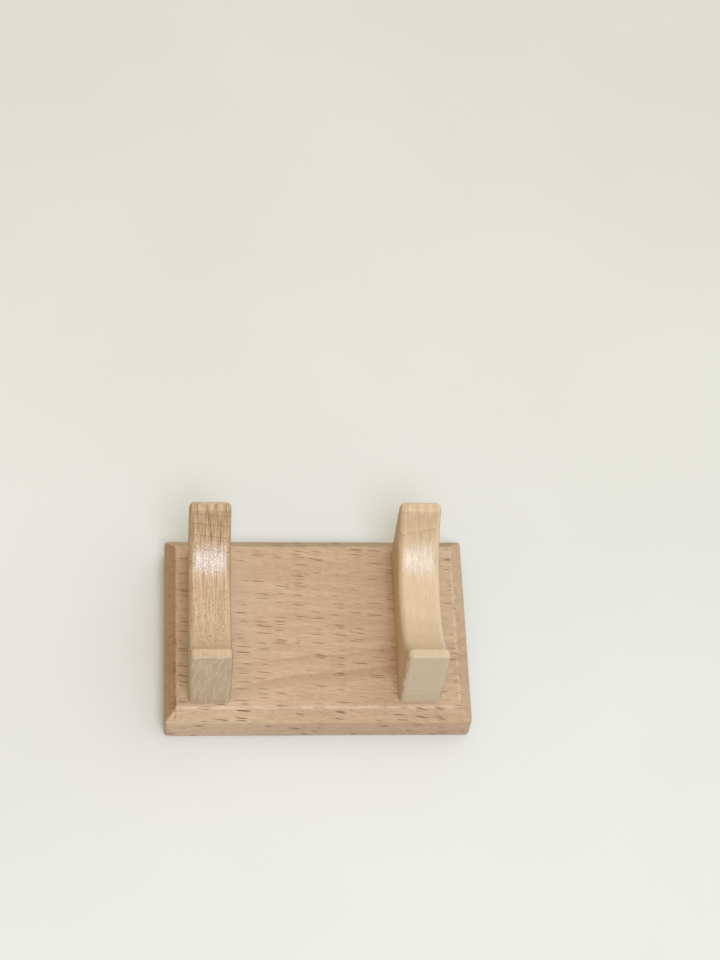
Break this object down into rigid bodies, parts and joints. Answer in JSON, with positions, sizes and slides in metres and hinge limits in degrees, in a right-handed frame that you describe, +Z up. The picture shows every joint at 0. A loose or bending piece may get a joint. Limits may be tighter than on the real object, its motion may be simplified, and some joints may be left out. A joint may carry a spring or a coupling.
{
  "type": "tube display stand",
  "caption": "Low wooden stand with a bevelled rectangular board and upright concave saddles that hold a tube level along the board.",
  "frame": {"origin": "centre of the board's underside, on the surface the stand rests on", "axes": "+X along the tube and the board's length, +Y from the front to the back, +Z up"},
  "size_m": [0.11, 0.074, 0.051],
  "materials": {
    "board_wood": "pinkish-tan beech under thin satin lacquer, short dark ray flecks along the board",
    "left_cradle_wood": "pale streaky maple-like wood under satin lacquer, grain from front to back",
    "right_cradle_wood": "pale even maple-like wood under satin lacquer, grain from front to back",
    "screw_steel": "zinc-plated steel with a plain cross recess"
  },
  "bodies": {
    "root": {"base_board": "board_wood", "left_cradle": "left_cradle_wood", "right_cradle": "right_cradle_wood", "left_front_screw": "screw_steel", "left_rear_screw": "screw_steel", "right_front_screw": "screw_steel", "right_rear_screw": "screw_steel"}
  },
  "joints": []
}
